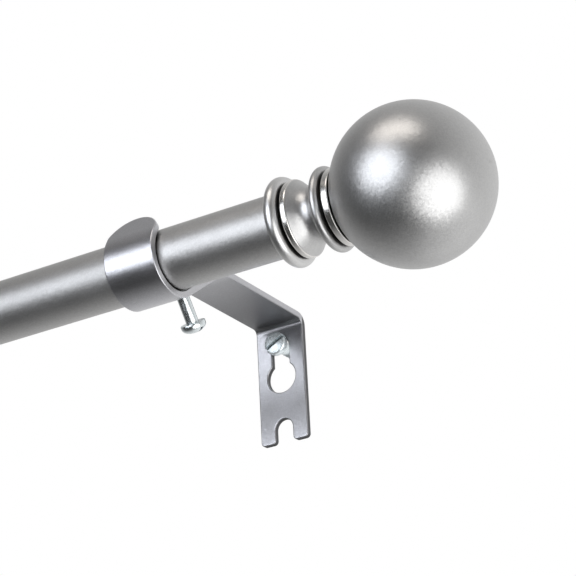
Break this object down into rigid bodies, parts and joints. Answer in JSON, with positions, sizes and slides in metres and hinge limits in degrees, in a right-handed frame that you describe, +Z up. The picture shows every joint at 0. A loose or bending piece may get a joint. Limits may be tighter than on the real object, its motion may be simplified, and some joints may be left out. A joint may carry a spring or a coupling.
{
  "type": "curtain rod with brackets",
  "caption": "Telescoping curtain rod with ball finials, held in bent strip wall brackets with hooks, set screws and keyhole plates.",
  "frame": {"origin": "back face of the right wall plate, on the strip's middle line between keyhole and fork", "axes": "+X along the rod towards the right finial, +Y into the wall, +Z up"},
  "size_m": [0.5723, 0.0958, 0.0527],
  "materials": {
    "silver_paint": "satin metallic",
    "bracket_paint": "satin metallic with fine sparkle",
    "bright_nickel": "polished",
    "zinc": "bright zinc plated"
  },
  "bodies": {
    "right_bracket": {"right_bracket": "bracket_paint"},
    "right_set_screw": {"right_set_screw": "zinc"},
    "right_wall_screw": {"right_wall_screw": "zinc"},
    "rod": {"outer_tube": "silver_paint", "right_end_plug": "silver_paint"},
    "right_finial": {"right_base_band": "bright_nickel", "right_neck": "silver_paint", "right_ball_seat": "bright_nickel", "right_ball": "silver_paint", "right_stud": "zinc"},
    "inner_rod": {"inner_tube": "silver_paint", "left_end_plug": "silver_paint"},
    "left_finial": {"left_base_band": "bright_nickel", "left_neck": "silver_paint", "left_ball_seat": "bright_nickel", "left_ball": "silver_paint", "left_stud": "zinc"},
    "left_bracket": {"left_bracket": "bracket_paint"},
    "left_set_screw": {"left_set_screw": "zinc"},
    "left_wall_screw": {"left_wall_screw": "zinc"}
  },
  "joints": [
    {"name": "right_wall_screw_travel", "type": "slide", "parent": "right_bracket", "child": "right_wall_screw", "axis": [0, -1, 0], "range_m": [0, 0.012]},
    {"name": "right_set_screw_travel", "type": "slide", "parent": "right_bracket", "child": "right_set_screw", "axis": [0, 0.5736, -0.8192], "range_m": [0, 0.006]},
    {"name": "rod_slide", "type": "slide", "parent": "right_bracket", "child": "rod", "axis": [1, 0, 0], "range_m": [-0.028, 0.15]},
    {"name": "right_finial_travel", "type": "slide", "parent": "rod", "child": "right_finial", "axis": [1, 0, 0], "range_m": [0, 0.012]},
    {"name": "telescope", "type": "slide", "parent": "rod", "child": "inner_rod", "axis": [-1, 0, 0], "range_m": [0, 0.254]},
    {"name": "left_finial_travel", "type": "slide", "parent": "inner_rod", "child": "left_finial", "axis": [-1, 0, 0], "range_m": [0, 0.012]},
    {"name": "left_bracket_slide", "type": "slide", "parent": "inner_rod", "child": "left_bracket", "axis": [1, 0, 0], "range_m": [-0.028, 0.022]},
    {"name": "left_wall_screw_travel", "type": "slide", "parent": "left_bracket", "child": "left_wall_screw", "axis": [0, -1, 0], "range_m": [0, 0.012]},
    {"name": "left_set_screw_travel", "type": "slide", "parent": "left_bracket", "child": "left_set_screw", "axis": [0, 0.5736, -0.8192], "range_m": [0, 0.006]}
  ]
}
